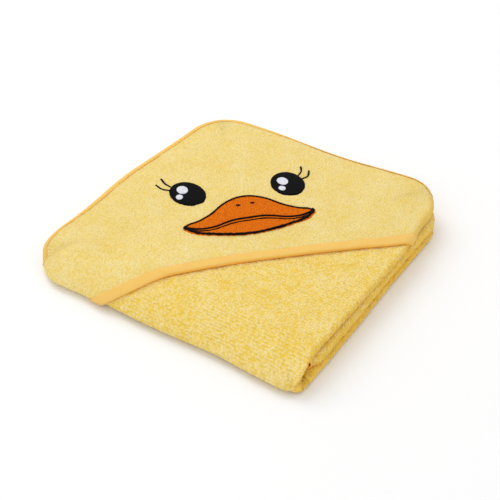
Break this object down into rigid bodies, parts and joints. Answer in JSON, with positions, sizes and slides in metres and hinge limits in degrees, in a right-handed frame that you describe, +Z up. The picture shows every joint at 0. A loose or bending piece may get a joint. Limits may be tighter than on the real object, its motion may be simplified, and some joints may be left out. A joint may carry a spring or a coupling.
{
  "type": "hooded baby towel",
  "caption": "Square terry baby towel folded in thirds both ways into a flat packet, its duck-face hood on top; the top fold hinges open along the front edge.",
  "frame": {"origin": "on the floor under the middle of the folded packet", "axes": "+X along the back edge away from the hood corner, -Y along the left edge away from the hood corner, +Z up"},
  "size_m": [0.275, 0.272, 0.031],
  "materials": {
    "terry": "looped terry cloth",
    "binding_tape": "smooth woven bias tape",
    "sewing_thread": "twisted polyester thread",
    "thread_orange": "dense embroidery",
    "thread_black": "dense embroidery",
    "thread_white": "dense embroidery"
  },
  "bodies": {
    "folded_base": {"base_terry": "terry", "inner_terry": "terry", "back_wrap_terry": "terry", "front_wrap_terry": "terry", "hood_wrap": "terry", "hood_base_wing": "terry", "base_left_binding": "binding_tape", "base_tucked_binding": "binding_tape", "inner_left_binding": "binding_tape", "inner_tucked_binding": "binding_tape", "front_end_binding": "binding_tape", "back_wrap_binding": "binding_tape", "front_wrap_binding": "binding_tape", "hem_wrap": "binding_tape", "hem_base_wing": "binding_tape"},
    "top_fold": {"top_terry": "terry", "hood_panel": "terry", "top_tucked_binding": "binding_tape", "back_end_binding": "binding_tape", "top_edge_binding": "binding_tape", "hem_binding": "binding_tape", "hem_stitching": "sewing_thread", "left_edge_stitching": "sewing_thread", "back_edge_stitching": "sewing_thread", "eye_left": "thread_black", "eye_left_large_glint": "thread_white", "eye_left_small_glint": "thread_white", "lash_left_upper": "thread_black", "lash_left_lower": "thread_black", "nostril_left": "thread_black", "eye_right": "thread_black", "eye_right_large_glint": "thread_white", "eye_right_small_glint": "thread_white", "lash_right_upper": "thread_black", "lash_right_lower": "thread_black", "nostril_right": "thread_black", "bill_upper": "thread_orange", "bill_lower": "thread_orange", "bill_top_outline": "thread_black", "bill_bottom_outline": "thread_black", "mouth_line": "thread_black", "lip_line": "thread_black"}
  },
  "joints": [
    {"name": "top_fold_open", "type": "hinge", "parent": "folded_base", "child": "top_fold", "pos_m": [0, -0.127, 0.01565], "axis": [1, 0, 0], "range_deg": [0, 180], "deforming": ["front_wrap_terry", "hood_wrap", "hem_wrap", "front_wrap_binding"]}
  ]
}
